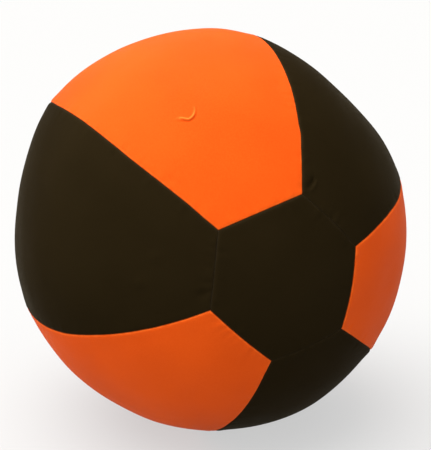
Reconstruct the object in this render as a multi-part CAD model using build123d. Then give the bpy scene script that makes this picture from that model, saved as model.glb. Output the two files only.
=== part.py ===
"""Fabric-covered inflatable ball: a sewn eight-panel cover over a rubber bladder.

Millimetres and degrees. The ball is drawn about its own centre and every part is lifted by
CENTRE_Z when it is written, so the floor is z = 0 and +Z is up. The line through the two
hexagonal caps is the Y axis with the front cap at -Y. A meridian angle runs round that axis
from +X towards +Z. A pole angle is measured from the rear pole, +Y.
"""

import math
import os

from build123d import *

os.makedirs("parts", exist_ok=True)

# Whole ball
BALL_R = 325.0  # outside of the cover
FLAT_DEPTH = 2.5  # how far the ball settles where it stands
CENTRE_Z = BALL_R - FLAT_DEPTH
REACH = 1000.0  # size of the cutting tools, well past the ball

# Cover panels
SEAMS = (19.0, 77.0, 138.5, 199.5, 262.5, 320.5)  # meridian angles, sewn a little unevenly
FRONT_CORNERS = (22.5, 22.0, 21.0, 18.5, 20.5, 23.5)  # from the front pole to each cap corner
REAR_CORNER = 22.0  # from the rear pole to every corner of the rear cap
PANELS = len(SEAMS)
COVER_T = 1.0

# Seam bindings inside the cover
BINDING_OUT = BALL_R - 1.2
BINDING_IN = BALL_R - 2.4
BINDING_HALF = 8.0

# Zip along one rear seam
ZIP_SEAM = SEAMS[1]
ZIP_START = 31.0
ZIP_END = 80.0
OPENING_HALF = 5.0
OPENING_EXTRA = 0.5
TAPE_START = 28.2
TAPE_END = 83.0
TAPE_OUT = BALL_R - 1.2
TAPE_IN = BALL_R - 2.2
TAPE_NEAR = 1.8
TAPE_FAR = 15.0
TOOTH_PITCH = 3.2
TOOTH_LENGTH = 1.9
TOOTH_NEAR = 0.45
TOOTH_FAR = 3.0
TOOTH_TOP = BALL_R - 0.3
TOOTH_BOTTOM = BALL_R - 3.1
TOOTH_SLOT_TOP = BALL_R - 1.0
TOOTH_SLOT_BOTTOM = BALL_R - 2.4
TOOTH_SLOT_NEAR = 1.6
STOP_LENGTH = 3.0

# Zip slider and its pull tab
SLIDER_AT = 33.1  # pole angle of the slider when the zip is closed
SLIDER_TOP = BALL_R + 1.2
SLIDER_UNDER_TOP = BALL_R + 0.1
SLIDER_OVER_BOTTOM = BALL_R - 3.3
SLIDER_BOTTOM = BALL_R - 4.4
LIP_TOP = BALL_R - 0.9
LIP_BOTTOM = BALL_R - 2.5
TUNNEL_HALF = 3.3
POST_HALF = 0.4
PIVOT_BACK = 3.5  # from the slider's middle towards the rear pole
PIVOT_R = BALL_R + 2.9
EAR_R = 1.6
EAR_NEAR = 2.0
EAR_FAR = 3.2
PIN_BORE_R = 0.8
PIN_R = 0.74
HUB_R = 1.5
HUB_HALF = 1.85
TAB_LENGTH = 25.0
TAB_HALF = 3.5
TAB_T = 1.2
TAB_TILT = 7.0  # the tab hangs this far below the tangent

# Guard flap behind the zip, and the hollow for it in the bladder
GUARD_OUT = BALL_R - 5.6
GUARD_IN = BALL_R - 6.4
GUARD_HALF = 14.0
GUARD_WALL = 0.8
HOLLOW_HALF = 17.0
HOLLOW_START = 26.0
HOLLOW_END = 85.0
HOLLOW_R = BALL_R - 7.2

# Bladder and valve
BLADDER_R = BALL_R - 2.8
BLADDER_T = 0.8
BLADDER_HOLE_R = 9.3
PORT_R = 11.0
PORT_RING_R = 24.0
SEAT_R = 20.0
SEAT_OUT = BALL_R - 3.8
SEAT_IN = BALL_R - 5.2
BOSS_R = 9.0
BOSS_TOP = BALL_R - 1.5
BOSS_BOTTOM = BALL_R - 12.0
BORE_R = 4.0
PLUG_SHAFT_R = 3.95
PLUG_HEAD_R = 7.5
PLUG_HEAD_T = 1.25
PLUG_LENGTH = 13.5

# Sewing
STITCH_T = 0.42
STITCH_W = 0.7
STITCH_LONG = 3.0
STITCH_PITCH = 4.5
STITCH_GAP = 0.03
ZIP_STITCH_AT = 8.5
PORT_STITCH_R = 17.5
PORT_STITCHES = 24

# Blank care label beside one rear seam
LABEL_SEAM = SEAMS[2]
LABEL_START = 46.0
LABEL_END = 50.0
LABEL_LONG = 40.0
LABEL_T = 0.6
LABEL_GAP = 0.05


def direction(meridian, pole):
    """Unit vector from the ball's centre."""
    m = math.radians(meridian)
    p = math.radians(pole)
    return Vector(math.sin(p) * math.cos(m), math.cos(p), math.sin(p) * math.sin(m))


def along(meridian, pole):
    """Unit tangent of a meridian, leading away from the rear pole."""
    return direction(meridian, pole + 90.0)


def ball(radius):
    """Solid ball with its lowest part cut off flat."""
    mid_panel = (SEAMS[0] + SEAMS[1]) / 2
    poles = Plane(origin=(0, 0, 0), x_dir=direction(mid_panel, 90), z_dir=(0, 1, 0))
    floor = Pos(0, 0, -(radius - FLAT_DEPTH)) * Box(
        3 * radius, 3 * radius, radius, align=(Align.CENTER, Align.CENTER, Align.MAX)
    )
    return Solid.make_sphere(radius, poles) - floor


def shell(outer, inner):
    """Hollow ball between two radii."""
    return ball(outer) - ball(inner)


def wedge(start, end):
    """Everything between two meridian half-planes."""
    base = Vector(0, -REACH, 0)
    corners = [base]
    corners += [base + direction(a, 90) * REACH for a in (start, (start + end) / 2, end)]
    return extrude(make_face(Polyline(*corners, close=True)), 2 * REACH, dir=(0, 1, 0))


def pyramid(side, widen=0.0):
    """Six-sided pyramid from the ball's centre out through a cap, widened by some degrees."""
    corners = []
    for k, seam in enumerate(SEAMS):
        lean = widen + (REAR_CORNER if side > 0 else FRONT_CORNERS[k])
        pole = lean if side > 0 else 180.0 - lean
        corners.append(direction(seam, pole) * (REACH / math.cos(math.radians(lean))))
    centre = Vector(0, 0, 0)
    faces = [Face(Wire.make_polygon(corners))]
    for k in range(PANELS):
        faces.append(Face(Wire.make_polygon([centre, corners[k], corners[(k + 1) % PANELS]])))
    return Solid(Shell(faces))


def sector(meridian, start, end, lat_0, lat_1):
    """Slab beside a meridian's plane, between two pole angles and two sideways distances."""
    sideways = direction(meridian, 90).cross(along(meridian, 90))
    base = sideways * lat_0
    corners = [base]
    corners += [base + direction(meridian, a) * REACH for a in (start, (start + end) / 2, end)]
    return extrude(make_face(Polyline(*corners, close=True)), lat_1 - lat_0, dir=sideways)


def seat_plane(meridian, pole, sideways=0.0):
    """Plane at the ball's centre facing out; x leads away from the rear pole, y is left."""
    out = direction(meridian, pole)
    left = out.cross(along(meridian, pole))
    turn = sideways / BALL_R
    facing = out * math.cos(turn) + left * math.sin(turn)
    return Plane(origin=(0, 0, 0), x_dir=along(meridian, pole), z_dir=facing)


def zip_place(pole, sideways=0.0):
    """Location on the zip's seam."""
    return Location(seat_plane(ZIP_SEAM, pole, sideways))


def rear_cylinder(radius, low, high):
    """Cylinder on the Y axis between two heights above the centre."""
    return Cylinder(
        radius, high - low, rotation=(-90, 0, 0), align=(Align.CENTER, Align.CENTER, Align.MIN)
    ).moved(Location((0, low, 0)))


def write(name, *shapes):
    """Lift a part to its place over the floor and write it."""
    solids = [solid for shape in shapes for solid in shape.solids()]
    placed = [solid.moved(Location((0, 0, CENTRE_Z))) for solid in solids]
    export_step(placed[0] if len(placed) == 1 else Compound(placed), f"parts/{name}.step")


def zip_opening():
    """The slot left open in the seam for the zip."""
    return sector(
        ZIP_SEAM,
        ZIP_START - OPENING_EXTRA,
        ZIP_END + OPENING_EXTRA,
        -OPENING_HALF,
        OPENING_HALF,
    )


def make_cover():
    """Six gores and two hexagonal caps that meet along the seams."""
    skin = shell(BALL_R, BALL_R - COVER_T)
    front = pyramid(-1)
    rear = pyramid(1)
    slot = zip_opening()
    band = skin - front - rear
    counts = {"black": 0, "orange": 0}
    ends = SEAMS[1:] + (SEAMS[0] + 360.0,)
    for k, (start, end) in enumerate(zip(SEAMS, ends)):
        gore = band & wedge(start, end)
        if ZIP_SEAM in (start, end):
            gore = gore - slot
        colour = "orange" if k % 2 else "black"
        counts[colour] += 1
        write(f"{colour}_gore_{counts[colour]}", gore)
    write("front_cap", skin & front)
    write("rear_cap", (skin & rear) - rear_cylinder(PORT_R, 0, REACH))


def make_bindings():
    """Tapes sewn along the inside of every seam."""
    layer = shell(BINDING_OUT, BINDING_IN)
    half = math.degrees(BINDING_HALF / BALL_R) / math.cos(math.pi / PANELS)
    gap = 0.03
    for name, side in (("front_cap_binding", -1), ("rear_cap_binding", 1)):
        write(name, (layer & pyramid(side, half)) - pyramid(side, -half))
    clear = layer - pyramid(-1, half + gap) - pyramid(1, half + gap)
    for k, seam in enumerate(SEAMS):
        strip = clear & sector(seam, 5, 175, -BINDING_HALF, BINDING_HALF)
        if seam == ZIP_SEAM:
            strip = strip - sector(seam, TAPE_START - 0.3, TAPE_END + 0.3, -20, 20)
        write(f"seam_binding_{k + 1}", strip)


def make_tapes():
    """The woven tapes either side of the teeth."""
    layer = shell(TAPE_OUT, TAPE_IN)
    left = layer & sector(ZIP_SEAM, TAPE_START, TAPE_END, TAPE_NEAR, TAPE_FAR)
    right = layer & sector(ZIP_SEAM, TAPE_START, TAPE_END, -TAPE_FAR, -TAPE_NEAR)
    write("zip_tape_left", left)
    write("zip_tape_right", right)


def clip(side, length):
    """U-shaped block clamped over the inner edge of one tape, centred along the seam."""
    outline = [
        (TOOTH_NEAR, TOOTH_BOTTOM),
        (TOOTH_FAR, TOOTH_BOTTOM),
        (TOOTH_FAR, TOOTH_SLOT_BOTTOM),
        (TOOTH_SLOT_NEAR, TOOTH_SLOT_BOTTOM),
        (TOOTH_SLOT_NEAR, TOOTH_SLOT_TOP),
        (TOOTH_FAR, TOOTH_SLOT_TOP),
        (TOOTH_FAR, TOOTH_TOP),
        (TOOTH_NEAR, TOOTH_TOP),
    ]
    corners = [(-length / 2, side * y, z) for y, z in outline]
    return extrude(make_face(Polyline(*corners, close=True)), length, dir=(1, 0, 0))


def make_teeth():
    """Two rows of moulded teeth, the right one half a pitch along."""
    pitch = math.degrees(TOOTH_PITCH / BALL_R)
    first = ZIP_START + math.degrees((STOP_LENGTH + 1.0) / BALL_R)
    last = ZIP_END - math.degrees((2 * STOP_LENGTH + 1.0) / BALL_R)
    count = int((last - first) / pitch)
    for name, side, shift in (("left", 1, 0.0), ("right", -1, 0.5)):
        tooth = clip(side, TOOTH_LENGTH)
        places = [zip_place(first + pitch * (i + shift)) for i in range(count)]
        write(f"zip_teeth_{name}", *[tooth.moved(place) for place in places])


def make_stops():
    """A clip on each tape at the closed end and one bar across both at the other."""
    half = math.degrees(STOP_LENGTH / 2 / BALL_R)
    top = [clip(side, STOP_LENGTH).moved(zip_place(ZIP_START + half)) for side in (1, -1)]
    write("zip_top_stops", *top)
    high = TOOTH_TOP - TOOTH_BOTTOM
    bar = Pos(0, 0, TOOTH_BOTTOM) * Box(
        2 * STOP_LENGTH, 2 * TOOTH_FAR, high, align=(Align.CENTER, Align.CENTER, Align.MIN)
    )
    for side in (1, -1):
        slot = Pos(0, side * TOOTH_SLOT_NEAR, TOOTH_SLOT_BOTTOM) * Box(
            3 * STOP_LENGTH,
            TOOTH_FAR,
            TOOTH_SLOT_TOP - TOOTH_SLOT_BOTTOM,
            align=(Align.CENTER, Align.MIN if side > 0 else Align.MAX, Align.MIN),
        )
        bar = bar - slot
    write("zip_bottom_stop", bar.moved(zip_place(ZIP_END - 2 * half)))


def slider_outline():
    """Plan of the slider, broader at the shoulder end that faces the rear pole."""
    plan = Polygon(
        (-6.5, -3.0), (-4.6, -4.6), (0.5, -4.6), (6.5, -3.9),
        (6.5, 3.9), (0.5, 4.6), (-4.6, 4.6), (-6.5, 3.0),
        align=None,
    )
    return extrude(fillet(plan.vertices(), 0.7), 2 * BALL_R)


def make_slider():
    """Two curved plates joined by a thin post, lipped at the sides, with ears for the tab."""
    place = zip_place(SLIDER_AT)
    whole = shell(SLIDER_TOP, SLIDER_BOTTOM) & slider_outline().moved(place)
    tunnel = shell(SLIDER_UNDER_TOP, SLIDER_OVER_BOTTOM) & sector(
        ZIP_SEAM, SLIDER_AT - 3, SLIDER_AT + 3, -TUNNEL_HALF, TUNNEL_HALF
    )
    slots = shell(LIP_TOP, LIP_BOTTOM) & sector(ZIP_SEAM, SLIDER_AT - 3, SLIDER_AT + 3, -9, 9)
    body = whole - tunnel - slots
    low = SLIDER_OVER_BOTTOM - 0.5
    post = Pos(-4.0, 0, low) * Box(
        4.0,
        2 * POST_HALF,
        SLIDER_UNDER_TOP + 0.5 - low,
        align=(Align.CENTER, Align.CENTER, Align.MIN),
    )
    body = body + post.moved(place)
    for side in (1, -1):
        middle = side * (EAR_NEAR + EAR_FAR) / 2
        wide = EAR_FAR - EAR_NEAR
        foot = Pos(-PIVOT_BACK, middle, SLIDER_TOP - 0.4) * Box(
            2 * EAR_R,
            wide,
            PIVOT_R - SLIDER_TOP + 0.4,
            align=(Align.CENTER, Align.CENTER, Align.MIN),
        )
        eye = Pos(-PIVOT_BACK, middle, PIVOT_R) * Cylinder(EAR_R, wide, rotation=(90, 0, 0))
        body = body + foot.moved(place) + eye.moved(place)
    bore = Pos(-PIVOT_BACK, 0, PIVOT_R) * Cylinder(PIN_BORE_R, 3 * EAR_FAR, rotation=(90, 0, 0))
    write("zip_slider", body - bore.moved(place))


def make_pull_tab():
    """Flat tab on a cross pin, hanging towards the rear pole."""
    pin = Cylinder(PIN_R, 2 * EAR_FAR, rotation=(90, 0, 0))
    hub = Cylinder(HUB_R, 2 * HUB_HALF, rotation=(90, 0, 0))
    neck = Pos(-2.0, 0, 0) * Box(4.0, 2 * HUB_HALF, TAB_T)
    blade_long = TAB_LENGTH - 3.4
    blade = Pos(-3.4 - blade_long / 2, 0, 0) * Box(blade_long, 2 * TAB_HALF, TAB_T)
    blade = fillet(blade.edges().filter_by(Axis.Z).sort_by(Axis.X)[:2], 2.4)
    blade = blade - Pos(-TAB_LENGTH + 5.0, 0, 0) * Cylinder(1.6, 3 * TAB_T)
    tab = pin + hub + neck + blade
    tab = tab.moved(Location((0, 0, 0), (0, -TAB_TILT, 0)))
    tab = tab.moved(Location((-PIVOT_BACK, 0, PIVOT_R)))
    write("zip_pull_tab", tab.moved(zip_place(SLIDER_AT)))


def make_guard():
    """Flap behind the zip, standing off one tape on a side wall."""
    flap = shell(GUARD_OUT, GUARD_IN) & sector(
        ZIP_SEAM, TAPE_START, TAPE_END, -GUARD_HALF, GUARD_HALF
    )
    wall = shell(TAPE_IN - 0.2, GUARD_IN) & sector(
        ZIP_SEAM, TAPE_START, TAPE_END, -GUARD_HALF, -GUARD_HALF + GUARD_WALL
    )
    write("zip_guard_flap", flap + wall)


def pushed_in(radius, hollow, extra):
    """Bladder surface with the long hollow that clears the zip."""
    more = math.degrees(extra / BALL_R)
    groove = sector(
        ZIP_SEAM,
        HOLLOW_START - more,
        HOLLOW_END + more,
        -HOLLOW_HALF - extra,
        HOLLOW_HALF + extra,
    )
    return ball(radius) - (groove - Solid.make_sphere(hollow))


def make_bladder():
    """Rubber bladder with a hole for the valve."""
    outside = pushed_in(BLADDER_R, HOLLOW_R, 0.0)
    inside = pushed_in(BLADDER_R - BLADDER_T, HOLLOW_R - BLADDER_T, BLADDER_T)
    write("bladder", outside - inside - rear_cylinder(BLADDER_HOLE_R, 0, REACH))


def make_valve():
    """Moulded seat under the bladder wall, the stopper in it, and the port's backing ring."""
    flange = shell(SEAT_OUT, SEAT_IN) & rear_cylinder(SEAT_R, 0, REACH)
    seat = flange + rear_cylinder(BOSS_R, BOSS_BOTTOM, BOSS_TOP)
    write("valve_seat", seat - rear_cylinder(BORE_R, 0, REACH))
    under = BOSS_TOP + 0.05
    head = rear_cylinder(PLUG_HEAD_R, under, under + PLUG_HEAD_T)
    head = chamfer(head.edges().sort_by(Axis.Y)[-1], 0.5)
    shaft = rear_cylinder(PLUG_SHAFT_R, under - PLUG_LENGTH, under)
    shaft = chamfer(shaft.edges().sort_by(Axis.Y)[0], 1.0)
    write("valve_plug", head + shaft)
    ring = shell(BINDING_OUT, BINDING_IN) & rear_cylinder(PORT_RING_R, 0, REACH)
    write("port_ring", ring - rear_cylinder(PORT_R, 0, REACH))


def stitch():
    """One thread float lying on the cover, running along x."""
    return Pos(0, 0, BALL_R + STITCH_GAP) * Box(
        STITCH_LONG, STITCH_W, STITCH_T, align=(Align.CENTER, Align.CENTER, Align.MIN)
    )


def make_stitching():
    """Topstitching beside the zip and round the valve port."""
    one = stitch()
    pitch = math.degrees(STITCH_PITCH / BALL_R)
    count = int((TAPE_END - TAPE_START - 1.0) / pitch)
    rows = []
    for side in (ZIP_STITCH_AT, -ZIP_STITCH_AT):
        for i in range(count):
            rows.append(one.moved(zip_place(TAPE_START + 0.5 + pitch * (i + 0.5), side)))
    write("zip_stitching", *rows)
    pole = math.degrees(PORT_STITCH_R / BALL_R)
    round_port = []
    for i in range(PORT_STITCHES):
        face = Plane(
            origin=(0, 0, 0),
            x_dir=direction(360.0 / PORT_STITCHES * i + 90.0, 90),
            z_dir=direction(360.0 / PORT_STITCHES * i, pole),
        )
        round_port.append(one.moved(Location(face)))
    write("port_stitching", *round_port)


def make_label():
    """Blank woven label that lies on the cover beside a seam."""
    patch = shell(BALL_R + LABEL_GAP + LABEL_T, BALL_R + LABEL_GAP) & sector(
        LABEL_SEAM, LABEL_START, LABEL_END, -LABEL_LONG, -0.5
    )
    write("care_label", patch)


make_cover()
make_bindings()
make_tapes()
make_teeth()
make_stops()
make_slider()
make_pull_tab()
make_guard()
make_bladder()
make_valve()
make_stitching()
make_label()
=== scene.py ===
"""Fabric-covered inflatable ball, dressed round its CAD frame. Metres; +Z up.

A direction from the ball's centre is given by a meridian angle, round the Y axis from +X
towards +Z, and a pole angle, from the rear pole +Y. Lengths inside the surface functions are
millimetres.
"""

import math

import bmesh
import bpy
import numpy as np
from mathutils import Matrix, Vector


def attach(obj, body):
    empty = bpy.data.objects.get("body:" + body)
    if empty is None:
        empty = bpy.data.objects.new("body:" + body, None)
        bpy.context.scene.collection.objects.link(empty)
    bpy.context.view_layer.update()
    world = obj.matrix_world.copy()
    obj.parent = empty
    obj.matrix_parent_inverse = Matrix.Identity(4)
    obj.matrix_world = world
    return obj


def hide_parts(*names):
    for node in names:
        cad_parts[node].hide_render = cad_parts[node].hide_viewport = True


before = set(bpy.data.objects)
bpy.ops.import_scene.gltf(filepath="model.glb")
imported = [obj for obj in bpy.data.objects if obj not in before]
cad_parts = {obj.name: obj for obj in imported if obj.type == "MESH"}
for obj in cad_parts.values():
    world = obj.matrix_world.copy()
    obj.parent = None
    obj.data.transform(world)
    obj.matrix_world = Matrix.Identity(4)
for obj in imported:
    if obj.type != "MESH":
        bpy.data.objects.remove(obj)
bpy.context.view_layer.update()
scene = bpy.context.scene

# Ball, in millimetres. SEAMS are the meridian angles of the long seams.
BALL_R = 325.0
CENTRE_Z = 322.5
SEAMS = (19.0, 77.0, 138.5, 199.5, 262.5, 320.5)
PANELS = len(SEAMS)
LABEL_SEAM = SEAMS[2]

# Caps: how far each corner lies from its pole, in degrees, and how far its edge and the tape
# inside it lie from the pole on the whole, in mm
FRONT_CORNERS = (21.8, 22.2, 21.7, 19.4, 21.0, 23.3)
REAR_CORNER = 22.0
CAP_R = 115.0
CAP_TAPE_R = 112.0

# Zip: pole angles of the ends of its opening and of its tapes, and half its width in mm
ZIP_SEAM = SEAMS[1]
OPENING = (30.5, 80.5)
OPENING_HALF = 5.0
TAPE_SPAN = (27.9, 83.3)

# Round the zip and the port the cover keeps to the sphere. Over these it eases free: mm aside
# from the zip, pole angles past its two ends, and degrees from the port.
CALM_ASIDE = (30.0, 60.0)
CALM_FROM = (19.0, 25.0)
CALM_TO = (84.0, 92.0)
CALM_PORT = (5.0, 9.0)

# Valve port in the rear cap, and the bladder with its hollow under the zip
PORT_R = 11.0
BLADDER_HOLE_R = 9.3
BLADDER_GAP = 2.8
BLADDER_T = 0.8
HOLLOW = (26.0, 85.0)
HOLLOW_HALF = 17.0
HOLLOW_R = BALL_R - 7.2

# Cover cloth, in millimetres: its thickness, and less where it turns in at a seam, the roll at
# the seam, and the puffed and gathered strip beside it
CLOTH_T = 1.0
EDGE_T = 0.28
TURN_IN = 1.6
SEAM_GAP = 0.1
ROLL_W = 1.7
ROLL_DEPTH = 0.8
PUFF = 0.9
PUFF_AT = 5.0
GATHER = 0.45
GATHER_LENGTHS = (12.3, 15.1, 19.9, 27.3, 43.0)
GATHER_GAIN = 1.8
GATHER_ROUND_CAP_R = 110.0
CORNER_BLEND = 6.0
REAR_SEED, FRONT_SEED = 5.1, 8.4

# Mesh: size of a cell in mm, columns across a panel, pole angles between which rows are even,
# and distances of the rows beside an edge, which crowd where the cloth rolls under
CELL = 4.2
MIDDLE_COLS = 68
EVEN_ROWS = (28.0, 152.0)
RAMP_ROWS = 6
EDGE_STEPS = np.array([0.0, 0.12, 0.35, 0.7, 1.15, 1.7, 2.5, 3.6, 5.0, 6.8, 9.0, 11.8, 15.0])

# Cloth bends away from the floor over about this height, in mm
FLOOR_EASE = 0.8

# Tape along the inside of the seams, in millimetres
BINDING_HALF = 8.0
BINDING_OUT = 1.35
BINDING_T = 1.0

# Topstitching, in millimetres: the thread, then the rows beside the zip and round the port
THREAD_R = 0.34
THREAD_ARCH = 0.62
THREAD_SUNK = 0.42
THREAD_UP = 0.03
ZIP_PITCH = 4.5
ZIP_STITCH = 3.3
ZIP_ASIDE = 8.5
ZIP_ROW = (28.7, 82.4)
PORT_STITCHES = 24
PORT_ROW_R = 17.5
PORT_STITCH = 3.4

# Care label: pole angles of its sides, and mm from its seam to its near and far ends
LABEL_SIDES = (46.0, 50.0)
LABEL_ENDS = (0.6, 40.0)
LABEL_T = 0.45
LABEL_UP = 0.25
LABEL_PUFF = 1.9
LABEL_CURL = 1.2

# How far each panel is pulled flat across its middle, as a share of the radius
FLATNESS = (0.039, -0.019, 0.031, 0.017, -0.023, 0.007)
# The caps and a band round them stay round: squared sine of the band's pole angle
CAP_REACH = 0.19

# How far each seam strays from its meridian: pole angle, then mm towards the next seam
STRAY = (
    ((100, 0.0), (132, 0.5), (139, 2.3), (147, 2.0), (154, 0.3), (160, -0.8)),
    (
        *((94, 0.0), (106, 1.5), (114, 2.1), (122, 1.4), (127, 0.2)),
        *((139, -0.8), (142, -2.6), (146, -1.6), (152, -1.9), (159, -3.3)),
    ),
    (
        *((90, 0.0), (99, -1.6), (109, -2.8), (118, -2.1), (126, -1.1)),
        *((130, -0.3), (149, -0.2), (154, 1.2), (160, 1.6)),
    ),
    (
        *((94, 0.0), (102, -1.6), (110, -0.6), (118, 0.8), (126, 0.0)),
        *((136, -0.4), (146, -1.8), (154, -3.9), (161, -6.5)),
    ),
    ((104, 0.0), (118, -1.2), (128, -3.8), (138, -2.2), (146, -0.7), (154, 0.9), (160, 4.0)),
    ((112, 0.0), (124, 1.8), (134, 2.4), (142, 0.9), (150, -0.3), (154, -1.3), (158, -2.4)),
)


# ---------------------------------------------------------------- surface of the ball


def unit(vectors):
    """Vectors of length one."""
    return vectors / np.linalg.norm(vectors, axis=-1, keepdims=True)


def direction(meridian, pole):
    """Unit vectors from angles in degrees."""
    m = np.radians(meridian)
    p = np.radians(pole)
    m, p = np.broadcast_arrays(m, p)
    return np.stack([np.sin(p) * np.cos(m), np.cos(p), np.sin(p) * np.sin(m)], -1)


def angles(d):
    """Meridian and pole angles of unit vectors, in degrees."""
    meridian = np.degrees(np.arctan2(d[..., 2], d[..., 0])) % 360.0
    return meridian, np.degrees(np.arccos(np.clip(d[..., 1], -1, 1)))


def panel_place(d):
    """Which long panel each direction lies in, and how far across it, from 0 to 1."""
    meridian, _ = angles(d)
    starts = np.array(SEAMS) - SEAMS[0]
    ends = np.append(starts[1:], 360.0)
    turn = (meridian - SEAMS[0]) % 360.0
    k = np.clip(np.searchsorted(starts, turn, side="right") - 1, 0, PANELS - 1)
    return k, (turn - starts[k]) / (ends[k] - starts[k])


def smooth(x, low, high):
    """0 below low, 1 above high, eased between."""
    t = np.clip((x - low) / (high - low), 0.0, 1.0)
    return t * t * (3 - 2 * t)


# Soft dents and swellings: meridian angle, pole angle, spread in mm, height in mm
SWELLS = (
    (135.5, 78.0, 80.0, 6.0),
    (85.5, 91.0, 52.0, 3.5),
    (106.0, 82.5, 46.0, -2.8),
    (203.5, 90.5, 95.0, -6.2),
    (180.0, 83.0, 70.0, -1.8),
    (18.0, 116.0, 90.0, -2.0),
    (62.0, 99.0, 50.0, -1.6),
    (326.0, 125.0, 70.0, 2.6),
    (178.7, 144.3, 9.0, 1.2),
    (166.8, 147.3, 8.0, 1.0),
    (184.3, 159.5, 6.5, -2.2),
    (352.0, 142.0, 34.0, -2.5),
    (81.5, 126.5, 6.0, -0.9),
    (134.8, 142.1, 4.5, -1.4),
    (133.0, 142.9, 5.0, 0.9),
)

# The hooked crease on the top panel: (meridian, pole) angles along its ridge
TOP_CREASE = (
    (118.6, 130.6),
    (117.4, 131.5),
    (116.2, 132.5),
    (115.1, 132.6),
    (113.9, 132.3),
    (112.8, 131.5),
    (112.0, 130.4),
)

# Creases: the line's points as (meridian, pole) angles, then height, half-width and the depth
# of the fold along its lower side, in mm
CREASES = (
    (TOP_CREASE, 1.9, 1.5, 0.8),
    (((72.2, 156.0), (69.4, 154.4), (69.0, 152.6)), -2.6, 2.4, -0.9),
    (((69.4, 154.4), (66.8, 152.6)), -1.4, 2.0, 0.0),
)

# Long shallow waves of the stretched cloth: direction across them, waves round the ball, height
# in mm and where they start
WAVES = (
    ((0.62, 0.48, 0.62), 13.0, 0.30, 0.4),
    ((-0.55, 0.70, 0.45), 17.0, 0.24, 2.1),
    ((0.30, -0.40, 0.87), 23.0, 0.17, 4.0),
    ((0.88, 0.10, -0.46), 29.0, 0.12, 1.3),
    ((-0.20, 0.93, -0.30), 37.0, 0.09, 5.2),
)


def curved(line, parts=5):
    """A smooth line of many points through a few."""
    p = np.array(line, float)
    if len(p) > 2:
        p = np.concatenate([2 * p[:1] - p[1:2], p, 2 * p[-1:] - p[-2:-1]])
        t = np.linspace(0, 1, parts, endpoint=False)[:, None]
        runs = []
        for a, b, c, d in zip(p, p[1:], p[2:], p[3:]):
            bend = (2 * a - 5 * b + 4 * c - d) * t**2
            twist = (3 * b - a - 3 * c + d) * t**3
            runs.append(0.5 * (2 * b + (c - a) * t + bend + twist))
        p = np.concatenate(runs + [p[-2:-1]])
    return p


def line_distance(points, line):
    """Distance in mm from unit vectors to a short line on the ball, which side of it they lie,
    and how far along it, from 0 to 1."""
    ends = direction(*curved(line).T) * BALL_R
    lengths = np.linalg.norm(np.diff(ends, axis=0), axis=1)
    starts = np.append(0, np.cumsum(lengths))
    best = np.full(points.shape[:-1], np.inf)
    side, along = np.zeros(points.shape[:-1]), np.zeros(points.shape[:-1])
    at = points * BALL_R
    for i, (a, b) in enumerate(zip(ends[:-1], ends[1:])):
        run = b - a
        t = np.clip(((at - a) @ run) / (run @ run), 0, 1)
        off = at - (a + t[..., None] * run)
        far = np.linalg.norm(off, axis=-1)
        nearer = far < best
        best = np.where(nearer, far, best)
        side = np.where(nearer, np.sign(off @ np.cross(run, a)), side)
        along = np.where(nearer, (starts[i] + t * lengths[i]) / starts[-1], along)
    return best, side, along


def crease_fade(along):
    """A crease comes up soon after its start and dies away from the middle on."""
    return smooth(along, -0.08, 0.16) * (1 - 0.75 * smooth(along, 0.6, 1.0))


def crease_height(d):
    """Ridges, folds, dents and swellings, in mm."""
    total = np.zeros(d.shape[:-1])
    for meridian, pole, reach, height in SWELLS:
        far = np.arccos(np.clip(d @ direction(meridian, pole), -1, 1)) * BALL_R
        total += height * np.exp(-((far / reach) ** 2))
    for line, height, half, fold in CREASES:
        far, side, along = line_distance(d, line)
        fade = crease_fade(along)
        width = np.where(side < 0, 1.7 * half, half)
        total += fade * height * np.exp(-((far / width) ** 2))
        total -= fade * fold * np.exp(-(((far * side - 2.0 * half) / half) ** 2))
    return total


def wave_height(d):
    """Long shallow waves, in mm."""
    total = np.zeros(d.shape[:-1])
    for across, count, size, start in WAVES:
        total += size * np.sin(count * (d @ np.array(across)) + start)
    return total


def zip_nearness(d):
    """1 on and beside the zip, 0 away from it."""
    meridian, pole = angles(d)
    turn = np.radians((meridian - ZIP_SEAM + 180.0) % 360.0 - 180.0)
    aside = np.abs(np.sin(np.radians(pole)) * np.sin(turn)) * BALL_R
    near = 1 - smooth(aside, *CALM_ASIDE)
    return near * smooth(pole, *CALM_FROM) * (1 - smooth(pole, *CALM_TO)) * (np.cos(turn) > 0)


def port_nearness(d):
    """1 on and round the valve port, 0 away from it."""
    return 1 - smooth(angles(d)[1], *CALM_PORT)


def freedom(d):
    """0 where the cover keeps to the sphere, 1 where it may stray."""
    return (1 - zip_nearness(d)) * (1 - port_nearness(d))


def cloth_radius(d, edge=60.0):
    """Radius of the stretched cover without its seams, in mm, edge mm away from a seam."""
    k, across = panel_place(d)
    between_caps = np.clip((1 - d[..., 1] ** 2 - CAP_REACH) / (1 - CAP_REACH), 0, None)
    free = freedom(d)
    flat = np.array(FLATNESS)[k] * between_caps * np.sin(np.pi * across) ** 2
    radius = BALL_R * (1 - flat * free)
    away_from_seam = 0.15 + 0.85 * smooth(edge, 4.0, 30.0)
    return radius + free * (wave_height(d) * away_from_seam + crease_height(d))


def ripple(along, seed):
    """Uneven gathers along a seam, about -1 to 1."""
    total = 0.0
    for i, length in enumerate(GATHER_LENGTHS):
        wave = np.sin(2 * np.pi * along / length + seed * (i + 1.7))
        total = total + wave / len(GATHER_LENGTHS)
    return total * GATHER_GAIN


def puff(edge):
    """Swelling of the cloth beside a seam."""
    return PUFF * (edge / PUFF_AT) * np.exp(1 - edge / PUFF_AT)


def seam_height(edge, along, seed, free):
    """Cloth swells beside a seam, gathers a little, and rolls under at the edge."""
    gather = 1 + GATHER * ripple(along, seed)
    roll = 1 - np.sqrt(1 - (1 - np.clip(edge / ROLL_W, 0, 1)) ** 2)
    return free * puff(edge) * gather - ROLL_DEPTH * roll


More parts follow.
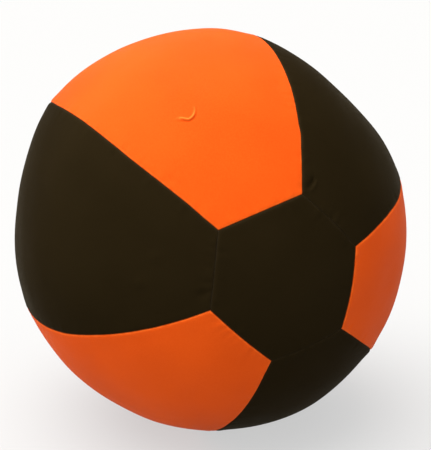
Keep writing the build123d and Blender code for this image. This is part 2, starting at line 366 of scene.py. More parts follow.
def place(d, radius):
    """Points in metres in the row frame, kept above the floor."""
    at = d * radius[..., None]
    height = at[..., 2] + CENTRE_Z
    eased = FLOOR_EASE * np.logaddexp(0.0, height / FLOOR_EASE)
    height = np.where(height > 4 * FLOOR_EASE, height, eased)
    at[..., 2] = np.where(height < 0.02 * FLOOR_EASE, 0.0, height)
    return at / 1000.0


# ---------------------------------------------------------------- meshes


def make_object(name, verts, faces, material):
    """Smooth mesh piece that moves with the cover."""
    mesh = bpy.data.meshes.new(name)
    mesh.from_pydata([tuple(v) for v in verts], [], faces)
    mesh.update()
    mesh.polygons.foreach_set("use_smooth", [True] * len(mesh.polygons))
    mesh.materials.append(material)
    obj = bpy.data.objects.new(name, mesh)
    scene.collection.objects.link(obj)
    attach(obj, "cover")
    return obj


def grid_faces(rows, cols, start, wrap=False, flip=False):
    """Quads of a grid of vertices numbered row by row."""
    i, j = np.meshgrid(np.arange(rows - 1), np.arange(cols if wrap else cols - 1), indexing="ij")
    j2 = (j + 1) % cols
    quads = np.stack([i * cols + j, i * cols + j2, (i + 1) * cols + j2, (i + 1) * cols + j], -1)
    quads = quads.reshape(-1, 4) + start
    return (quads[:, ::-1] if flip else quads).tolist()


def rim_faces(ring, offset, flip=False):
    """Quads joining a closed ring of vertices to the same ring further on."""
    faces = []
    for a, b in zip(ring, ring[1:] + ring[:1]):
        quad = (a, b, b + offset, a + offset)
        faces.append(quad[::-1] if flip else quad)
    return faces


def grid_shell(outer, inner):
    """Closed thin shell from two grids of points."""
    rows, cols = outer.shape[:2]
    count = rows * cols
    verts = np.concatenate([outer.reshape(-1, 3), inner.reshape(-1, 3)])
    faces = grid_faces(rows, cols, 0) + grid_faces(rows, cols, count, flip=True)
    ring = list(range(cols))
    ring += [i * cols + cols - 1 for i in range(1, rows)]
    ring += [(rows - 1) * cols + j for j in range(cols - 2, -1, -1)]
    ring += [i * cols for i in range(rows - 2, 0, -1)]
    return verts, faces + rim_faces(ring, count, flip=True)


def ring_shell(outer, inner, tips=None):
    """Closed thin shell from two grids of rings. The first ring has a rim, and the last has one
    too unless a pair of tips closes it."""
    rows, cols = outer.shape[:2]
    middle = rows * cols
    first = list(range(cols))
    last = list(range(middle - cols, middle))
    sides = [outer.reshape(-1, 3), inner.reshape(-1, 3)]
    if tips is not None:
        sides = [np.concatenate([side, tip]) for side, tip in zip(sides, tips)]
    count = len(sides[0])
    faces = grid_faces(rows, cols, 0, wrap=True)
    faces += grid_faces(rows, cols, count, wrap=True, flip=True)
    faces += rim_faces(first, count, flip=True)
    if tips is None:
        faces += rim_faces(last, count)
    else:
        for a, b in zip(last, last[1:] + last[:1]):
            faces += [(a, b, middle), (count + b, count + a, count + middle)]
    return np.concatenate(sides), faces


def face_outward(obj):
    """Turn every face of a closed mesh to face out."""
    bm = bmesh.new()
    bm.from_mesh(obj.data)
    bmesh.ops.recalc_face_normals(bm, faces=bm.faces)
    bm.to_mesh(obj.data)
    bm.free()


def set_cut(obj, across, along, edge):
    """Where each vertex lies on the flat cut cloth and how far from its edge, for the weave, the
    paler strip beside a seam and the painted shade line in it.
    """
    cut = obj.data.attributes.new("cut", "FLOAT_VECTOR", "POINT")
    values = np.stack([across, along, edge], -1).astype(np.float32)
    cut.data.foreach_set("vector", np.concatenate([values.reshape(-1, 3)] * 2).ravel() / 1000.0)


def set_painted_crease_highlight(obj, d):
    """How near each vertex lies to the lit upper side of a crease ridge, 0 to 1, where a painted
    highlight goes.
    """
    total = np.zeros(d.shape[:-1])
    for line, height, half, _ in CREASES:
        if height > 0:
            far, side, along = line_distance(d, line)
            near = np.exp(-(((far * -side - 0.5 * half) / (0.9 * half)) ** 2))
            total = np.maximum(total, near * crease_fade(along))
    fold = obj.data.attributes.new("fold", "FLOAT", "POINT")
    fold.data.foreach_set("value", np.concatenate([total.ravel()] * 2).astype(np.float32))


# ---------------------------------------------------------------- cover panels


def seam_meridian(k, pole):
    """Meridian angle of a seam at each pole angle."""
    poles, offsets = np.array(STRAY[k % PANELS], float).T
    stray = np.interp(pole, poles, offsets)
    seam = SEAMS[k % PANELS] + (360.0 if k >= PANELS else 0.0)
    return seam + np.degrees(stray / BALL_R / np.sin(np.radians(pole)))


def cap_corner(k, front):
    """Direction of the corner where seam k meets a cap."""
    k = k % PANELS
    pole = 180.0 - FRONT_CORNERS[k] if front else REAR_CORNER
    return direction(seam_meridian(k, pole), pole)


def cap_edge_pole(k, meridian, front):
    """Pole angle where a meridian crosses the straight edge of a cap."""
    n = np.cross(cap_corner(k, front), cap_corner(k + 1, front))
    m = np.radians(meridian)
    pole = np.degrees(np.arctan2(-n[1], n[0] * np.cos(m) + n[2] * np.sin(m)))
    return pole % 180.0


def opening_offset(pole):
    """Half-width of the zip opening at a pole angle."""
    return OPENING_HALF * ((pole > OPENING[0]) & (pole < OPENING[1]))


def even_rows(by_zip, finer_rows):
    """Pole angles of the even rows of a panel, closer together in some bands."""
    poles = np.arange(EVEN_ROWS[0], EVEN_ROWS[1] + 0.01, math.degrees(CELL / BALL_R))
    if by_zip:
        # A hair to either side of the ends of the opening, so that they are cut square
        hair = 0.012
        poles = np.union1d(poles, [edge + sign * hair for edge in OPENING for sign in (-1, 1)])
    for low, high, parts in finer_rows:
        poles = np.union1d(poles, np.linspace(low, high, parts))
    return poles


def panel_span(k):
    """Meridian angles of a long panel's two seams."""
    return SEAMS[k], SEAMS[k + 1] if k + 1 < PANELS else SEAMS[0] + 360.0


def gore_grid(k, finer, finer_rows):
    """Directions over one long panel, and each point's distance from its four edges in mm."""
    steps = EDGE_STEPS
    start, end = panel_span(k)
    shares = np.linspace(0, 1, MIDDLE_COLS)
    for low, high, parts in finer:
        shares = np.union1d(shares, np.linspace(low, high, parts))
    inner = shares[1:-1]
    cols = 2 * len(steps) + len(inner)
    straight = even_rows(ZIP_SEAM in (start, end), finer_rows)
    ramp = np.linspace(0, 1, RAMP_ROWS + 2)[1:-1, None]
    ends = len(steps) + len(ramp)
    rows = 2 * ends + len(straight)
    degrees = np.degrees((steps + SEAM_GAP) / BALL_R)[:, None]
    squeeze = 1 - steps / steps[-1]

    # The caps' edges and the seams depend on each other a little, so the grid is found in rounds
    meridian = np.tile(np.linspace(start, end, cols), (rows, 1))
    pole = np.zeros((rows, cols))
    for _ in range(4):
        rear = cap_edge_pole(k, meridian[0], front=False)
        front = cap_edge_pole(k, meridian[-1], front=True)
        pole[: len(steps)] = rear + degrees
        low = pole[len(steps) - 1]
        pole[len(steps) : ends] = low + (EVEN_ROWS[0] - low) * ramp
        pole[ends : ends + len(straight)] = straight[:, None]
        pole[-len(steps) :] = (front - degrees)[::-1]
        high = pole[-len(steps)]
        pole[-ends : -len(steps)] = EVEN_ROWS[1] + (high - EVEN_ROWS[1]) * ramp
        row_pole = pole[:, [0, -1]]
        seam_left = seam_meridian(k, row_pole[:, :1])
        seam_right = seam_meridian(k + 1, row_pole[:, 1:])
        left = np.full((rows, len(steps)), steps + SEAM_GAP)
        right = left.copy()
        if start == ZIP_SEAM:
            left += opening_offset(row_pole[:, :1]) * squeeze
        if end == ZIP_SEAM:
            right += opening_offset(row_pole[:, 1:]) * squeeze
        sine = np.sin(np.radians(row_pole))
        turn_left = np.degrees(np.arcsin(np.sin(left / BALL_R) / sine[:, :1]))
        turn_right = np.degrees(np.arcsin(np.sin(right / BALL_R) / sine[:, 1:]))
        left, right = seam_left + turn_left, seam_right - turn_right
        a, b = left[:, -1:], right[:, -1:]
        meridian = np.concatenate([left, a + (b - a) * inner, right[:, ::-1]], 1)

    d = direction(meridian, pole)
    sine = np.sin(np.radians(pole))
    from_left = np.radians(meridian - seam_meridian(k, pole)) * sine * BALL_R
    from_right = np.radians(seam_meridian(k + 1, pole) - meridian) * sine * BALL_R
    if start == ZIP_SEAM:
        from_left = from_left - opening_offset(pole)
    if end == ZIP_SEAM:
        from_right = from_right - opening_offset(pole)
    gap = 0.018  # SEAM_GAP as an angle
    from_rear = np.radians(pole - pole[0] + gap) * BALL_R
    from_front = np.radians(pole[-1] - pole + gap) * BALL_R
    return d, from_left, from_right, from_rear, from_front


def gore(k, name, cad_node, material, finer, finer_rows):
    """Long panel between seams k and k + 1."""
    d, from_left, from_right, from_rear, from_front = gore_grid(k, finer, finer_rows)
    meridian, pole = angles(d)
    along = np.radians(pole) * BALL_R
    round_cap = np.radians(meridian) * GATHER_ROUND_CAP_R
    sides = [
        (from_left, along, 1.3 + k),
        (from_right, along, 2.3 + (k + 1) % PANELS),
        (from_rear, round_cap, REAR_SEED),
        (from_front, round_cap, FRONT_SEED),
    ]
    obj = make_object(name, *grid_shell(*cloth_layers(d, sides)), material)
    face_outward(obj)
    edge = np.minimum(np.minimum(from_left, from_right), np.minimum(from_rear, from_front))
    turn = (meridian - sum(panel_span(k)) / 2 + 180.0) % 360.0 - 180.0
    across = np.radians(turn) * np.sin(np.radians(pole)) * BALL_R
    set_cut(obj, across, along, np.clip(edge, 0, 60))
    set_painted_crease_highlight(obj, d)
    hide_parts(cad_node)
    return obj


def cloth_layers(d, sides):
    """Outer and inner points of a panel. Each side gives mm from it, mm along it and a seed."""
    free = freedom(d)
    edges = np.stack([np.clip(edge, 0, None) for edge, _, _ in sides])
    edge = edges.min(0)
    height = np.zeros(d.shape[:-1])
    weight = np.exp(-(((edges - edge) / CORNER_BLEND) ** 2))
    weight /= weight.sum(0)
    for i, (_, along, seed) in enumerate(sides):
        height += weight[i] * seam_height(edges[i], along, seed, free)
    radius = cloth_radius(d, edge) + height
    thick = EDGE_T + (CLOTH_T - EDGE_T) * smooth(edge, 0.0, TURN_IN)
    return place(d, radius), place(d, radius - thick)


def cap_outline(front, per_side=30):
    """Corners of a cap, its pole, and for each point of its edge the direction away from the
    pole and how far it is, in radians."""
    corners = [cap_corner(k, front) for k in range(PANELS)]
    pole = np.array([0.0, -1.0 if front else 1.0, 0.0])
    line = []
    for a, b in zip(corners, corners[1:] + corners[:1]):
        t = np.linspace(0, 1, per_side + 1)[:-1, None]
        line.append(unit(a * (1 - t) + b * t))
    line = np.concatenate(line)
    reach = np.arccos(np.clip(line @ pole, -1, 1))
    side = unit(line - (line @ pole)[:, None] * pole)
    return corners, pole, side, reach


def cap_rings(front, pole, side, reach):
    """Directions over a cap, in rings that shrink from its edge to the pole or the port."""
    steps = (EDGE_STEPS + SEAM_GAP) / CAP_R
    last = 1 - (0.02 if front else PORT_R / CAP_R)
    inner = np.linspace(steps[-1], last, 26)[1:]
    if not front:
        inner = np.append(inner[:-1], last - np.array([2.4, 1.2, 0.5, 0.15, 0.0]) / CAP_R)
    rings = []
    for share in np.concatenate([steps, inner]):
        lean = reach * (1 - share)
        if not front:
            to_port = reach + (PORT_R / BALL_R - reach) * (share / inner[-1])
            lean = lean + (to_port - lean) * smooth(share, 0.3, 1.0)
        rings.append(pole * np.cos(lean)[:, None] + side * np.sin(lean)[:, None])
    return np.stack(rings)


def cap(name, cad_node, front, material):
    """Hexagonal cap, closed at the pole or open for the valve port."""
    corners, pole, side, reach = cap_outline(front)
    d = cap_rings(front, pole, side, reach)
    seed = FRONT_SEED if front else REAR_SEED
    sides = []
    for k, (a, b) in enumerate(zip(corners, corners[1:] + corners[:1])):
        inward = unit(np.cross(a, b))
        inward = inward * np.sign(inward @ pole)
        far = np.arcsin(np.clip(d @ inward, -1, 1)) * BALL_R
        sides.append((far, (d @ unit(b - a)) * BALL_R, seed + k))
    edge = np.min([far for far, _, _ in sides], axis=0)
    x, z = d[..., 0] * BALL_R, d[..., 2] * BALL_R
    tips = None
    if front:
        tip_r = cloth_radius(pole[None])
        tips = place(pole[None], tip_r), place(pole[None], tip_r - CLOTH_T)
        x, z, edge = np.append(x, 0.0), np.append(z, 0.0), np.append(edge, 60.0)
    else:
        from_port = np.arccos(np.clip(d @ pole, -1, 1)) * BALL_R - PORT_R
        sides.append((from_port + 0.02, np.zeros(d.shape[:-1]), 0.0))
    obj = make_object(name, *ring_shell(*cloth_layers(d, sides), tips), material)
    face_outward(obj)
    set_cut(obj, x.ravel(), z.ravel(), np.clip(edge, 0, 60).ravel())
    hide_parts(cad_node)
    return obj


# ---------------------------------------------------------------- seam bindings


def tape_layers(d, edge):
    """Outer and inner points of a tape that lies under the cloth."""
    radius = cloth_radius(d, edge) - BINDING_OUT
    return place(d, radius), place(d, radius - BINDING_T)


def seam_binding(k, material):
    """Woven tape along the inside of a long seam, in one or two lengths."""
    clear = BINDING_HALF * 1.16 + 0.6  # past the tapes of the caps, which it crosses slantwise
    rear = REAR_CORNER + math.degrees(clear / BALL_R)
    front = 180.0 - FRONT_CORNERS[k] - math.degrees(clear / BALL_R)
    runs = [(rear, front)]
    if SEAMS[k] == ZIP_SEAM:
        runs = [(rear, TAPE_SPAN[0]), (TAPE_SPAN[1], front)]
    aside = np.linspace(-BINDING_HALF, BINDING_HALF, 9)
    verts, faces = [], []
    for low, high in runs:
        poles = np.linspace(low, high, max(8, int((high - low) * 0.9)))
        far, pole = np.meshgrid(aside, poles)
        turn = np.degrees(np.arcsin(np.sin(far / BALL_R) / np.sin(np.radians(pole))))
        d = direction(seam_meridian(k, pole) + turn, pole)
        more, quads = grid_shell(*tape_layers(d, np.abs(far)))
        start = sum(len(part) for part in verts)
        verts.append(more)
        faces += [tuple(i + start for i in quad) for quad in quads]
    obj = make_object(f"binding_seam_{k + 1}", np.concatenate(verts), faces, material)
    face_outward(obj)
    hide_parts(f"seam_binding_{k + 1}")


def cap_binding(name, cad_node, front, material):
    """Woven tape round the inside of a cap's edge."""
    _, pole, side, reach = cap_outline(front, 16)
    steps = np.linspace(-BINDING_HALF, BINDING_HALF, 9)
    rings = []
    for step in steps:
        lean = reach * (1 + step / CAP_TAPE_R)
        rings.append(pole * np.cos(lean)[:, None] + side * np.sin(lean)[:, None])
    d = np.stack(rings)
    edge = np.abs(np.broadcast_to(steps[:, None], d.shape[:-1]))
    obj = make_object(name, *ring_shell(*tape_layers(d, edge)), material)
    face_outward(obj)
    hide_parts(cad_node)


# ---------------------------------------------------------------- bladder


def bladder(material):
    """Rubber bladder a little inside the cover, pushed in under the zip."""
    turns = np.linspace(0, 360, 121)[:-1]
    near_zip = ZIP_SEAM + np.linspace(-12, 12, 61)
    turns = np.union1d(turns[np.abs(turns - ZIP_SEAM) > 12.5], near_zip)
    low, high = HOLLOW
    poles = (
        np.linspace(math.degrees(BLADDER_HOLE_R / BALL_R), low - 1, 14),
        np.linspace(low - 0.8, low, 6),
        np.linspace(low, high, 50)[1:],
        np.linspace(high + 0.2, high + 1, 5),
        np.linspace(high + 1, 178.5, 60)[1:],
    )
    meridian, pole = np.meshgrid(turns, np.concatenate(poles))
    d = direction(meridian, pole)
    turn = np.radians(meridian - ZIP_SEAM)
    aside = np.sin(np.radians(pole)) * np.sin(turn) * BALL_R
    inside = (1 - smooth(np.abs(aside), HOLLOW_HALF, HOLLOW_HALF + 1.5)) * (np.cos(turn) > 0)
    inside = inside * smooth(pole, low - 0.3, low) * (1 - smooth(pole, high, high + 0.3))
    radius = cloth_radius(d) - BLADDER_GAP
    radius = radius + (HOLLOW_R - radius) * inside
    tip = np.array([[0.0, -1.0, 0.0]])
    tip_r = cloth_radius(tip) - BLADDER_GAP
    tips = place(tip, tip_r), place(tip, tip_r - BLADDER_T)
    verts, faces = ring_shell(place(d, radius), place(d, radius - BLADDER_T), tips)
    obj = make_object("rubber_bladder", verts, faces, material)
    face_outward(obj)
    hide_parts("bladder")


# ---------------------------------------------------------------- thread


def thread_object(name, cad_node, spots, long, material):
    """Stitches as short rounded threads whose ends dive into the cloth."""
    ring, stations = 8, 9
    verts, faces = [], []
    for at, run, out in spots:
        side = np.cross(out, run)
        first = len(verts)
        for i in range(stations):
            t = -1 + 2 * i / (stations - 1)
            arch = THREAD_ARCH * (1 - t**4) - THREAD_SUNK
            thick = THREAD_R * math.sqrt(max(1 - 0.75 * t**4, 0.05))
            middle = at + run * (long / 2 * t) + out * arch
            for j in range(ring):
                a = 2 * math.pi * j / ring
                verts.append(middle + thick * (side * math.cos(a) * 1.15 + out * math.sin(a)))
        for i in range(stations - 1):
            for j in range(ring):
                a, b = first + i * ring + j, first + i * ring + (j + 1) % ring
                faces.append((a, b, b + ring, a + ring))
        faces.append(tuple(first + j for j in range(ring))[::-1])
        faces.append(tuple(first + (stations - 1) * ring + j for j in range(ring)))
    points = np.array(verts) / 1000.0
    points[:, 2] += CENTRE_Z / 1000.0
    obj = make_object(name, points, faces, material)
    face_outward(obj)
    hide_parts(cad_node)


def zip_thread(material):
    """A row of stitches along each side of the zip."""
    pitch = math.degrees(ZIP_PITCH / BALL_R)
    spots = []
    for aside in (ZIP_ASIDE, -ZIP_ASIDE):
        turn = aside / BALL_R
        pole = ZIP_ROW[0] + pitch / 2
        while pole < ZIP_ROW[1]:
            over, along = direction(ZIP_SEAM, pole), direction(ZIP_SEAM, pole + 90.0)
            out = over * math.cos(turn) + np.cross(over, along) * math.sin(turn)
            spots.append((out * (BALL_R + THREAD_UP), along, out))
            pole += pitch
    thread_object("zip_topstitch", "zip_stitching", spots, ZIP_STITCH, material)


def port_thread(material):
    """A ring of stitches round the valve port."""
    spots = []
    for i in range(PORT_STITCHES):
        meridian = 360.0 / PORT_STITCHES * i
        out = direction(meridian, math.degrees(PORT_ROW_R / BALL_R))
        along = direction(meridian + 90.0, 90.0)
        spots.append((out * (BALL_R + THREAD_UP), along, out))
    thread_object("port_topstitch", "port_stitching", spots, PORT_STITCH, material)


# ---------------------------------------------------------------- care label


def label(material):
    """Blank woven label that follows the cover beside its seam, with a lifted outer edge."""
    low, high = LABEL_SIDES
    near, end = LABEL_ENDS
    pole, far = np.meshgrid(np.linspace(low, high, 24), np.linspace(near, end, 40))
    turn = np.degrees(np.arcsin(np.sin(far / BALL_R) / np.sin(np.radians(pole))))
    d = direction(LABEL_SEAM + turn, pole)
    lift = 0.6 + 0.4 * (pole - low) / (high - low)
    curl = LABEL_CURL * smooth(far, end - 9.0, end) * lift
    radius = cloth_radius(d) + LABEL_UP + puff(far) * LABEL_PUFF + curl
    verts, faces = grid_shell(place(d, radius + LABEL_T), place(d, radius))
    obj = make_object("woven_label", verts, faces, material)
    face_outward(obj)
    along = np.radians(pole - (low + high) / 2) * BALL_R
    set_cut(obj, far, along, np.minimum(far, end - far))
    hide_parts("care_label")


# ---------------------------------------------------------------- materials


def new_material(name):
    """A material, its nodes and its shader."""
    mat = bpy.data.materials.new(name)
    mat.use_nodes = True
    tree = mat.node_tree
    return mat, tree, tree.nodes["Principled BSDF"]


def node(tree, kind, **inputs):
    """A new node with some of its inputs or settings."""
    made = tree.nodes.new(kind)
    for key, value in inputs.items():
        if key in made.inputs:
            made.inputs[key].default_value = value
        else:
            setattr(made, key, value)
    return made


def join(tree, value, socket):
    """Link a node's output to a socket, or set the socket to a plain value."""
    if hasattr(value, "is_output"):
        tree.links.new(value, socket)
    else:
        socket.default_value = value


def math_node(tree, operation, *values):
    """Result of a sum on plain values or other nodes' outputs."""
    made = node(tree, "ShaderNodeMath", operation=operation)
    for value, socket in zip(values, made.inputs):
        join(tree, value, socket)
    return made.outputs[0]


def plus(tree, a, b):
    """a and b added."""
    return math_node(tree, "ADD", a, b)


def less(tree, a, b):
    """a less b."""
    return math_node(tree, "SUBTRACT", a, b)


def times(tree, a, b):
    """a multiplied by b."""
    return math_node(tree, "MULTIPLY", a, b)


def mix_colour(tree, factor, a, b):
    """Colour a where the factor is 0 and b where it is 1."""
    made = node(tree, "ShaderNodeMix", data_type="RGBA")
    join(tree, factor, made.inputs["Factor"])
    join(tree, a, made.inputs["A"])
    join(tree, b, made.inputs["B"])
    return next(s for s in made.outputs if s.type == "RGBA")


def object_place(tree):
    """Place in the piece's own frame."""
    return tree.nodes.new("ShaderNodeTexCoord").outputs["Object"]


def noise(tree, where, scale, detail, rough):
    """Uneven value, about 0 to 1, with scale patches to a metre."""
    made = node(tree, "ShaderNodeTexNoise", Scale=scale, Detail=detail, Roughness=rough)
    tree.links.new(where, made.inputs["Vector"])
    return made.outputs["Fac"]


def spread(tree, value, low, high):
    """Stretch low..high of a value to 0..1."""
    made = node(tree, "ShaderNodeMapRange", **{"From Min": low, "From Max": high})
    tree.links.new(value, made.inputs["Value"])
    return made.outputs["Result"]


def add_bump(tree, shader, height, strength, distance):
    """Fine relief of a surface; the distance is in metres."""
    bump = node(tree, "ShaderNodeBump", Strength=strength, Distance=distance)
    tree.links.new(height, bump.inputs["Height"])
    tree.links.new(bump.outputs["Normal"], shader.inputs["Normal"])


def own_value(tree, name):
    """A value kept on each vertex of the piece."""
    return node(tree, "ShaderNodeAttribute", attribute_name=name, attribute_type="GEOMETRY")


def weave_and_edge(tree, pitch):
    """Plain weave laid out on the cut cloth, and the distance from the nearest seam."""
    apart = tree.nodes.new("ShaderNodeSeparateXYZ")
    tree.links.new(own_value(tree, "cut").outputs["Vector"], apart.inputs[0])
    turns = 2 * math.pi / pitch
    x = math_node(tree, "SINE", times(tree, apart.outputs["X"], turns))
    y = math_node(tree, "SINE", times(tree, apart.outputs["Y"], turns))
    return times(tree, x, y), apart.outputs["Z"]


def cover_cloth(name, deep, light, pale_and_highlight_tint, painted_seam_line, sheen, sheen_tint, specular, gloss_tint):
    """Woven cover cloth: tone drifts over a panel and has pale flecks. Beside a seam it is paler,
    partly wear and partly painted highlight; a thin painted shade line runs in the seam on the
    orange, and a crease ridge gets a painted highlight on its lit side.
    """
    mat, tree, shader = new_material(name)
    where = object_place(tree)
    weave, edge = weave_and_edge(tree, 0.0010)
    drift = spread(tree, noise(tree, where, 5.0, 3.0, 0.5), 0.32, 0.68)
    colour = mix_colour(tree, drift, deep, light)
    fleck = spread(tree, noise(tree, where, 420.0, 2.0, 0.6), 0.25, 0.75)
    colour = mix_colour(tree, times(tree, fleck, 0.09), colour, pale_and_highlight_tint)
    # Paler strip beside each seam: partly wear, partly a painted highlight where the puffed cloth
    # rolls to the seam
    by_seam = less(tree, 1.0, spread(tree, edge, 0.0006, 0.0042))
    broken = spread(tree, noise(tree, where, 90.0, 3.0, 0.6), 0.35, 0.75)
    wear_and_highlight = times(tree, by_seam, times(tree, broken, 0.55))
    colour = mix_colour(tree, wear_and_highlight, colour, pale_and_highlight_tint)
    # Painted shade: a thin dark line in the seam on the orange cloth; on the black its colour is
    # close to the paler tint
    painted_seam_line_mask = less(tree, 1.0, spread(tree, edge, 0.0003, 0.0013))
    colour = mix_colour(tree, times(tree, painted_seam_line_mask, 0.85), colour, painted_seam_line)
    # Painted highlight along the lit upper side of a crease ridge
    fold = own_value(tree, "fold").outputs["Fac"]
    colour = mix_colour(tree, times(tree, fold, 0.75), colour, pale_and_highlight_tint)
    tree.links.new(colour, shader.inputs["Base Color"])
    rough = spread(tree, noise(tree, where, 38.0, 4.0, 0.6), -1.1, 1.9)
    tree.links.new(plus(tree, times(tree, rough, 0.5), 0.36), shader.inputs["Roughness"])
    shader.inputs["Specular IOR Level"].default_value = specular
    shader.inputs["Specular Tint"].default_value = gloss_tint
    shader.inputs["Sheen Weight"].default_value = sheen
    shader.inputs["Sheen Roughness"].default_value = 0.2
    shader.inputs["Sheen Tint"].default_value = sheen_tint
    rub = noise(tree, where, 260.0, 3.0, 0.6)
    height = plus(tree, times(tree, weave, 0.5), times(tree, rub, 0.6))
    add_bump(tree, shader, height, 0.5, 0.0002)
    return mat


def tape_cloth(name, base, light, pitch):
    """Woven tape, thread or label."""
    mat, tree, shader = new_material(name)
    where = object_place(tree)
    bands = node(tree, "ShaderNodeTexWave", Scale=1.0 / pitch, Distortion=1.5, Detail=2.0)
    tree.links.new(where, bands.inputs["Vector"])
    mixed = times(tree, bands.outputs["Fac"], noise(tree, where, 500.0, 3.0, 0.6))
    colour = mix_colour(tree, spread(tree, mixed, 0.1, 0.5), base, light)
    tree.links.new(colour, shader.inputs["Base Color"])
    shader.inputs["Roughness"].default_value = 0.8
    shader.inputs["Sheen Weight"].default_value = 0.3
    add_bump(tree, shader, mixed, 0.5, 0.0002)
    return mat


def moulded(name, base, light, rough_low, rough_high, metallic=0.0):
    """Moulded plastic, rubber or worn metal."""
    mat, tree, shader = new_material(name)
    where = object_place(tree)
    patch = spread(tree, noise(tree, where, 45.0, 4.0, 0.6), 0.3, 0.7)
    tree.links.new(mix_colour(tree, patch, base, light), shader.inputs["Base Color"])
    grain = noise(tree, where, 300.0, 3.0, 0.6)
    rough = plus(tree, times(tree, grain, rough_high - rough_low), rough_low)
    tree.links.new(rough, shader.inputs["Roughness"])
    shader.inputs["Metallic"].default_value = metallic
    add_bump(tree, shader, grain, 0.4, 0.00006)
    return mat


# Cloth colours. The pale tint also paints highlights beside the seams and on a crease; the seam
# line colour is painted shade on the orange
ORANGE = cover_cloth(
    "orange_cloth",
    deep=(0.50, 0.0515, 0.0034, 1),
    light=(0.58, 0.0645, 0.0045, 1),
    pale_and_highlight_tint=(0.80, 0.17, 0.025, 1),
    painted_seam_line=(0.040, 0.0050, 0.0020, 1),
    sheen=0.04,
    sheen_tint=(1.0, 0.36, 0.05, 1),
    specular=0.035,
    gloss_tint=(1.0, 0.45, 0.10, 1),
)
BLACK = cover_cloth(
    "black_cloth",
    deep=(0.0093, 0.0060, 0.0020, 1),
    light=(0.0122, 0.0080, 0.0029, 1),
    pale_and_highlight_tint=(0.020, 0.014, 0.007, 1),
    painted_seam_line=(0.019, 0.013, 0.006, 1),
    sheen=0.035,
    sheen_tint=(1.0, 0.88, 0.62, 1),
    specular=0.004,
    gloss_tint=(1.0, 0.85, 0.55, 1),
)
SEAM_TAPE = tape_cloth("seam_tape_weave", (0.03, 0.03, 0.03, 1), (0.07, 0.07, 0.068, 1), 0.0016)
ZIP_TAPE = tape_cloth("zip_tape_weave", (0.012, 0.012, 0.013, 1), (0.04, 0.04, 0.042, 1), 0.0012)
THREAD = tape_cloth("stitch_thread", (0.03, 0.026, 0.02, 1), (0.09, 0.08, 0.065, 1), 0.0004)
LABEL = tape_cloth("label_weave", (0.27, 0.26, 0.235, 1), (0.36, 0.35, 0.325, 1), 0.0007)
TEETH = moulded("zip_teeth_plastic", (0.012, 0.012, 0.013, 1), (0.03, 0.03, 0.032, 1), 0.22, 0.5)
ZIP_METAL = moulded(
    "worn_nickel", (0.22, 0.215, 0.205, 1), (0.34, 0.33, 0.315, 1), 0.22, 0.46, metallic=1.0
)
BLADDER = moulded("bladder_rubber_skin", (0.05, 0.05, 0.055, 1), (0.10, 0.10, 0.11, 1), 0.4, 0.7)
SEAT = moulded("valve_rubber_skin", (0.05, 0.05, 0.05, 1), (0.11, 0.11, 0.11, 1), 0.5, 0.75)
PLUG = moulded("stopper_plastic", (0.34, 0.34, 0.325, 1), (0.42, 0.42, 0.405, 1), 0.3, 0.5)


# ---------------------------------------------------------------- camera, light and floor

CENTRE = Vector((0.0, 0.0, CENTRE_Z / 1000.0))

# Where the camera stands round the ball, how far away, and how far its aim is off the centre
AZIMUTH, ELEVATION = math.radians(-19.15), math.radians(13.96)
CAMERA_AWAY = 1.625
LENS = 78.19
AIM_RIGHT, AIM_DOWN = math.radians(0.41), math.radians(0.322)

# The studio is an even fill with a glow overhead, a pale band at the horizon and a darker side
LIGHT_FROM = (-0.32, -0.06, 1.0)
SHADE_FROM = (1.0, -0.4, 0.25)
GLOW, FILL, BAND, SHADE = 2.82, 0.68, 0.32, 0.80
SUN_STRENGTH, SUN_WIDTH = 3.85, math.radians(60.0)


def add_camera():
    """Camera in front of the ball, a little to its left and above."""
    level = math.cos(ELEVATION)
    back = Vector((math.sin(AZIMUTH) * level, -math.cos(AZIMUTH) * level, math.sin(ELEVATION)))
    data = bpy.data.cameras.new("camera")
    data.sensor_width = 36.0
    data.lens = LENS
    data.clip_start, data.clip_end = 0.05, 300.0
    camera = bpy.data.objects.new("camera", data)
    scene.collection.objects.link(camera)
    camera.location = CENTRE + back * CAMERA_AWAY
    aim = (-back).to_track_quat("-Z", "Y")
    turn = Matrix.Rotation(-AIM_RIGHT, 4, "Y") @ Matrix.Rotation(AIM_DOWN, 4, "X")
    camera.rotation_euler = (aim.to_matrix().to_4x4() @ turn).to_euler()
    scene.camera = camera


def add_sun():
    """Broad light from overhead."""
    data = bpy.data.lights.new("overhead_light", "SUN")
    data.energy = SUN_STRENGTH
    data.angle = SUN_WIDTH
    data.color = (1.0, 0.98, 0.94)
    light = bpy.data.objects.new("overhead_light", data)
    scene.collection.objects.link(light)
    light.location = CENTRE + Vector(LIGHT_FROM)
    light.rotation_euler = Vector(LIGHT_FROM).to_track_quat("Z", "Y").to_euler()


def facing(tree, towards):
    """How far each part of the studio faces a direction, from 0 to 1."""
    dot = node(tree, "ShaderNodeVectorMath", operation="DOT_PRODUCT")
    tree.links.new(tree.nodes.new("ShaderNodeTexCoord").outputs["Generated"], dot.inputs[0])
    dot.inputs[1].default_value = Vector(towards).normalized()
    return math_node(tree, "MAXIMUM", dot.outputs["Value"], 0.0)


def add_floor():
    """Pale floor that glows a little, just under the ball."""
    mesh = bpy.data.meshes.new("floor")
    far, low = 80.0, -0.0004
    corners = [(-far, -far, low), (far, -far, low), (far, far, low), (-far, far, low)]
    mesh.from_pydata(corners, [], [(0, 1, 2, 3)])
    floor = bpy.data.objects.new("floor", mesh)
    scene.collection.objects.link(floor)
    mat, _, shader = new_material("pale_floor")
    shader.inputs["Base Color"].default_value = (0.145, 0.145, 0.145, 1)
    shader.inputs["Emission Color"].default_value = (1.0, 1.0, 1.0, 1)
    shader.inputs["Emission Strength"].default_value = 0.56
    shader.inputs["Roughness"].default_value = 0.9
    shader.inputs["Specular IOR Level"].default_value = 0.0
    floor.data.materials.append(mat)


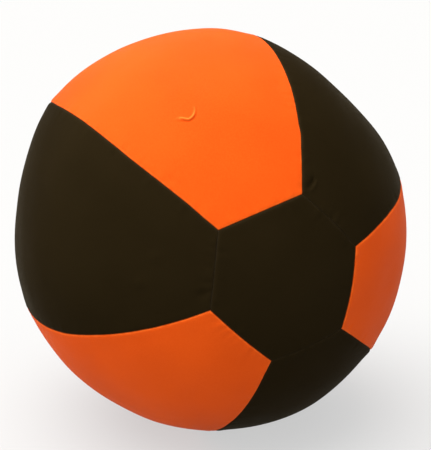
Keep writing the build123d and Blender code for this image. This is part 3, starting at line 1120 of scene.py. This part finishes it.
def add_studio():
    """Pale surroundings that light the ball from all round."""
    world = bpy.data.worlds.new("studio")
    world.use_nodes = True
    tree = world.node_tree
    glow = times(tree, math_node(tree, "POWER", facing(tree, LIGHT_FROM), 2.0), GLOW)
    height = facing(tree, (0.0, 0.0, 1.0))
    above = math_node(tree, "MINIMUM", times(tree, height, 3.0), 1.0)
    shade = times(tree, times(tree, facing(tree, SHADE_FROM), SHADE), above)
    band = times(tree, math_node(tree, "POWER", less(tree, 1.0, height), 8.0), BAND)
    fill = less(tree, plus(tree, band, FILL), shade)
    background = tree.nodes["Background"]
    background.inputs["Color"].default_value = (1.0, 0.99, 0.97, 1)
    tree.links.new(plus(tree, glow, fill), background.inputs["Strength"])
    scene.world = world


add_camera()
add_floor()
add_studio()
add_sun()
scene.view_settings.view_transform = "Standard"


# ---------------------------------------------------------------- build

# Long panels: seam, name, node, and where columns (share of the way across) and rows (pole
# angle) lie closer together under a crease
GORES = (
    (0, "panel_black_upper", "black_gore_1", ((0.72, 0.98, 44),), ((150.0, 152.0, 8),)),
    (1, "panel_orange_top", "orange_gore_1", ((0.555, 0.68, 62),), ((128.4, 134.0, 48),)),
    (2, "panel_black_left", "black_gore_2", (), ()),
    (3, "panel_orange_lower", "orange_gore_2", (), ()),
    (4, "panel_black_under", "black_gore_3", (), ()),
    (5, "panel_orange_right", "orange_gore_3", (), ()),
)

for k, name, cad_node, finer, finer_rows in GORES:
    orange = cad_node.startswith("orange")
    piece = gore(k, name, cad_node, ORANGE if orange else BLACK, finer, finer_rows)

for name, cad_node, front in (("cap_front", "front_cap", True), ("cap_rear", "rear_cap", False)):
    piece = cap(name, cad_node, front, BLACK)

for k in range(PANELS):
    seam_binding(k, SEAM_TAPE)
cap_binding("binding_cap_front", "front_cap_binding", True, SEAM_TAPE)
cap_binding("binding_cap_rear", "rear_cap_binding", False, SEAM_TAPE)
bladder(BLADDER)
zip_thread(THREAD)
port_thread(THREAD)
label(LABEL)

# Materials and edge radii, in metres, of the solids that are kept, by how their names start
NODE_MATERIALS = {
    "zip_tape": ZIP_TAPE,
    "zip_guard": ZIP_TAPE,
    "zip_teeth": TEETH,
    "zip_slider": ZIP_METAL,
    "zip_pull": ZIP_METAL,
    "zip_top": ZIP_METAL,
    "zip_bottom": ZIP_METAL,
    "valve_seat": SEAT,
    "valve_plug": PLUG,
    "port_ring": SEAM_TAPE,
}
ROUNDED = {
    "zip_teeth": 0.00014,
    "zip_slider": 0.0003,
    "zip_pull": 0.0002,
    "zip_top": 0.0005,
    "zip_bottom": 0.0006,
}
for name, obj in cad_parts.items():
    for start, material in NODE_MATERIALS.items():
        if name.startswith(start):
            obj.data.materials.clear()
            obj.data.materials.append(material)
    for start, width in ROUNDED.items():
        if name.startswith(start):
            bevel = obj.modifiers.new("rounded", "BEVEL")
            bevel.width = width
            bevel.segments = 2
            bevel.limit_method = "ANGLE"
            bevel.angle_limit = math.radians(38)
            bevel.harden_normals = True
